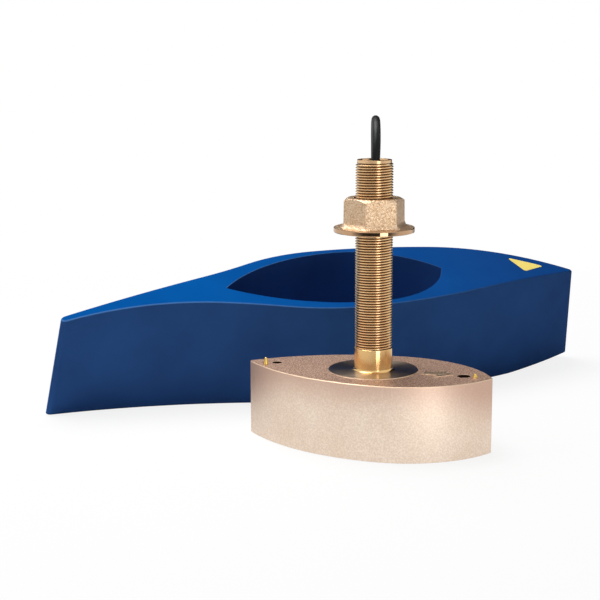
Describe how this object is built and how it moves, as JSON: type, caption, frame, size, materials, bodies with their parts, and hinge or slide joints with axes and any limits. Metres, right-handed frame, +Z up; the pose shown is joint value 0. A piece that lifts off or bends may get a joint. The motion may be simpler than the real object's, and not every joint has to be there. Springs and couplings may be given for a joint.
{
  "type": "sonar transducer",
  "caption": "Bronze through-hull sonar transducer: leaf-shaped housing with a threaded stem, a hull nut and a coiled cable, with its blue moulded fairing taken off.",
  "frame": {"origin": "on the stem axis, in the plane of the sounding face", "axes": "+X to the bow of the housing, +Z up the stem, +Y to port"},
  "size_m": [0.4511, 0.4666, 0.2907],
  "materials": {
    "bronze": "sand-cast bronze, turned bright on the stem, thread and nut",
    "brass_pins": "turned",
    "acoustic_window": "smooth cast urethane",
    "carrier_foam": "rigid closed-cell foam",
    "piezo_ceramic": "ground and silvered on its faces",
    "backing": "cork and rubber sheet",
    "circuit_board": "solder mask",
    "ferrite": "wound ferrite ring",
    "sensor_brass": "turned",
    "potting_resin": "cast resin",
    "cable_jacket": "satin black jacket",
    "seal_rubber": "moulded",
    "tie_strap": "satin",
    "boot_rubber": "moulded",
    "connector_plastic": "moulded",
    "contacts": "bright",
    "fairing_blue": "satin moulded polymer",
    "marker_yellow": "satin"
  },
  "bodies": {
    "transducer": {"housing": "bronze", "aft_locating_pin": "brass_pins", "forward_locating_pin": "brass_pins", "acoustic_window": "acoustic_window", "element_carrier": "carrier_foam", "high_frequency_ceramic": "piezo_ceramic", "low_frequency_ceramic_1": "piezo_ceramic", "low_frequency_ceramic_2": "piezo_ceramic", "low_frequency_ceramic_3": "piezo_ceramic", "low_frequency_ceramic_4": "piezo_ceramic", "low_frequency_ceramic_5": "piezo_ceramic", "low_frequency_ceramic_6": "piezo_ceramic", "backing_pad": "backing", "terminal_board": "circuit_board", "matching_transformer": "ferrite", "temperature_sensor": "sensor_brass", "potting": "potting_resin", "stem_lead": "cable_jacket", "stem_seal": "seal_rubber", "cable": "cable_jacket", "cable_coil": "cable_jacket", "coil_tie_1": "tie_strap", "coil_tie_2": "tie_strap", "cable_end": "cable_jacket", "connector_boot": "boot_rubber", "connector_body": "connector_plastic", "coupling_ring": "connector_plastic", "contact_insert": "connector_plastic", "contact_pins": "contacts", "fairing": "fairing_blue", "direction_marker": "marker_yellow"},
    "nut": {"hull_nut": "bronze"}
  },
  "joints": [
    {"name": "nut_travel", "type": "slide", "parent": "transducer", "child": "nut", "axis": [0, 0, 1], "range_m": [-0.103, 0.033]}
  ]
}
